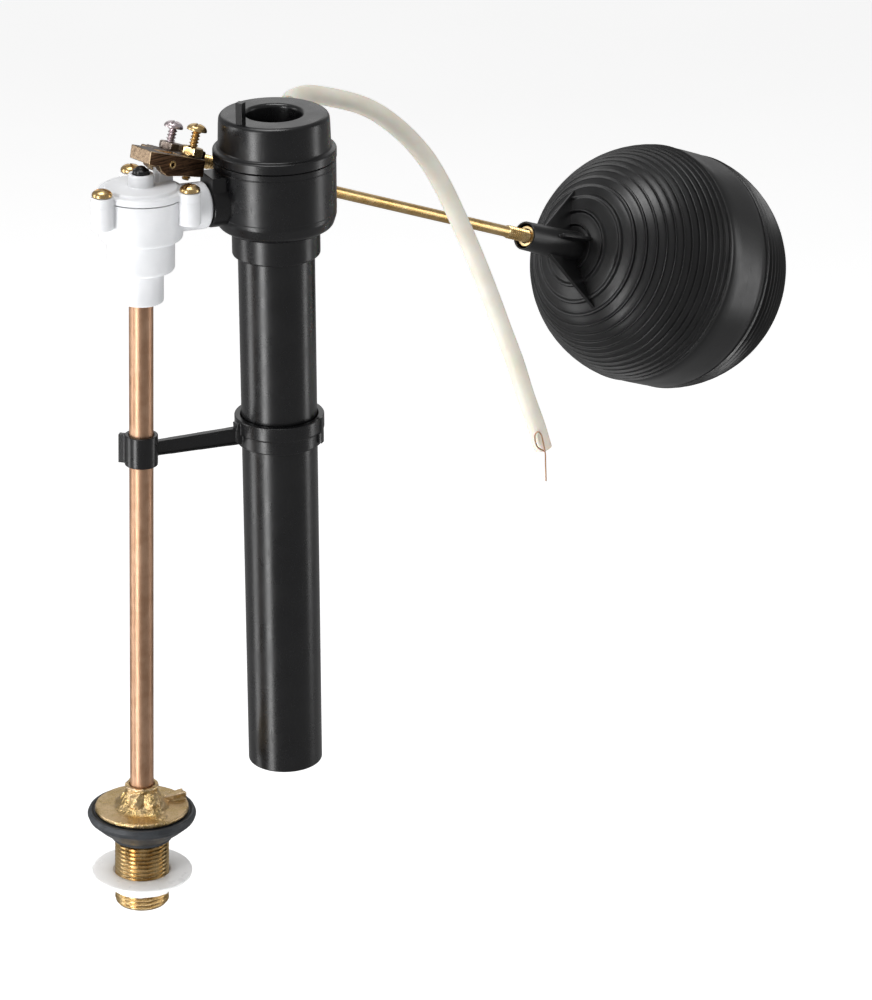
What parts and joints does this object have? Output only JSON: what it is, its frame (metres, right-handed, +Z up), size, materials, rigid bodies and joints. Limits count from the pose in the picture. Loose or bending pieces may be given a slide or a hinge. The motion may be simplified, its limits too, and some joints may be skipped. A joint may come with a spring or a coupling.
{
  "type": "float valve",
  "caption": "Brass-stemmed cistern fill valve with a ribbed ball float on a rod, a diaphragm valve head, a black discharge canister, a hush tube and a refill hose.",
  "frame": {"origin": "on the riser tube's axis, in the plane of the brass flange's underside, which the tank washer seats against", "axes": "+Z runs up the riser, +X is the direction the float rod points in as seen from above, +Y completes a right-handed set"},
  "size_m": [0.3786, 0.1205, 0.3376],
  "materials": {
    "acetal": "moulded white acetal, satin",
    "nylon": "translucent white moulded nylon, satin",
    "black_plastic": "moulded black plastic, satin",
    "float_plastic": "moulded black plastic, satin to matte",
    "grey_rubber": "dark blue-grey moulded rubber, matte",
    "black_rubber": "black rubber, matte",
    "brass": "machined brass, satin",
    "cast_brass": "brazed and cast brass, rough with bright worn edges",
    "bronze": "dark stained bronze casting with brighter cut faces",
    "copper": "drawn copper, lengthwise brushed streaks",
    "zinc_steel": "plated steel, pinkish silver",
    "dark_steel": "darkened steel, dull",
    "vinyl": "cream flexible vinyl, satin"
  },
  "bodies": {
    "frame": {"shank_fitting": "cast_brass", "shank_washer": "grey_rubber", "riser_tube": "copper", "riser_o_ring": "black_rubber", "outlet_o_ring": "black_rubber", "valve_body": "acetal", "valve_seat": "brass", "diaphragm": "black_rubber", "valve_cap": "acetal", "cap_screw_1": "brass", "cap_screw_2": "brass", "cap_screw_3": "brass", "fulcrum_pin": "brass", "canister_body": "black_plastic", "canister_cap": "black_plastic", "hush_tube": "black_plastic", "refill_nipple": "black_plastic", "support_bracket": "black_plastic", "refill_hose": "vinyl", "hose_clip_wire": "copper"},
    "lock_nut": {"lock_nut": "nylon"},
    "plunger": {"plunger": "black_plastic"},
    "arm": {"lever": "bronze", "rod_block": "bronze", "float_rod": "brass"},
    "float": {"float_insert": "brass", "float_front_shell": "float_plastic", "float_rear_shell": "float_plastic"},
    "adjusting_screw": {"adjusting_screw": "brass"},
    "adjusting_nut": {"adjusting_nut": "brass"},
    "clamp_screw": {"clamp_screw": "zinc_steel"},
    "clamp_nut": {"clamp_nut": "dark_steel"},
    "vent_disc": {"vent_disc": "black_rubber"}
  },
  "joints": [
    {"name": "float_arm", "type": "hinge", "parent": "frame", "child": "arm", "pos_m": [0.011, 0, 0.2725], "axis": [0, -1, 0], "range_deg": [0, 20]},
    {"name": "plunger_slide", "type": "slide", "parent": "frame", "child": "plunger", "axis": [0, 0, -1], "range_m": [0, 0.00225], "deforming": ["diaphragm"]},
    {"name": "float_spin", "type": "hinge", "parent": "arm", "child": "float", "pos_m": [0.21508, 0.0125, 0.19841], "axis": [0.9361, 0, -0.3518], "continuous": true},
    {"name": "adjusting_screw_turn", "type": "hinge", "parent": "arm", "child": "adjusting_screw", "pos_m": [0.02307, 0, 0.26796], "axis": [0.2857, 0, 0.9583], "continuous": true},
    {"name": "adjusting_nut_turn", "type": "hinge", "parent": "arm", "child": "adjusting_nut", "pos_m": [0.02307, 0, 0.26796], "axis": [0.2857, 0, 0.9583], "continuous": true},
    {"name": "clamp_screw_turn", "type": "hinge", "parent": "arm", "child": "clamp_screw", "pos_m": [0.02214, 0.0125, 0.26831], "axis": [0.2857, 0, 0.9583], "continuous": true},
    {"name": "clamp_nut_turn", "type": "hinge", "parent": "arm", "child": "clamp_nut", "pos_m": [0.02214, 0.0125, 0.26831], "axis": [0.2857, 0, 0.9583], "continuous": true},
    {"name": "vent_lift", "type": "slide", "parent": "frame", "child": "vent_disc", "axis": [-0.0366, 0, 0.9993], "range_m": [0, 0.003]},
    {"name": "lock_nut_travel", "type": "slide", "parent": "frame", "child": "lock_nut", "axis": [0, 0, 1], "range_m": [-0.007, 0.0145]}
  ],
  "couplings": [
    {"joint": "plunger_slide", "follows": "float_arm", "m_per_rad": 0.0064}
  ]
}
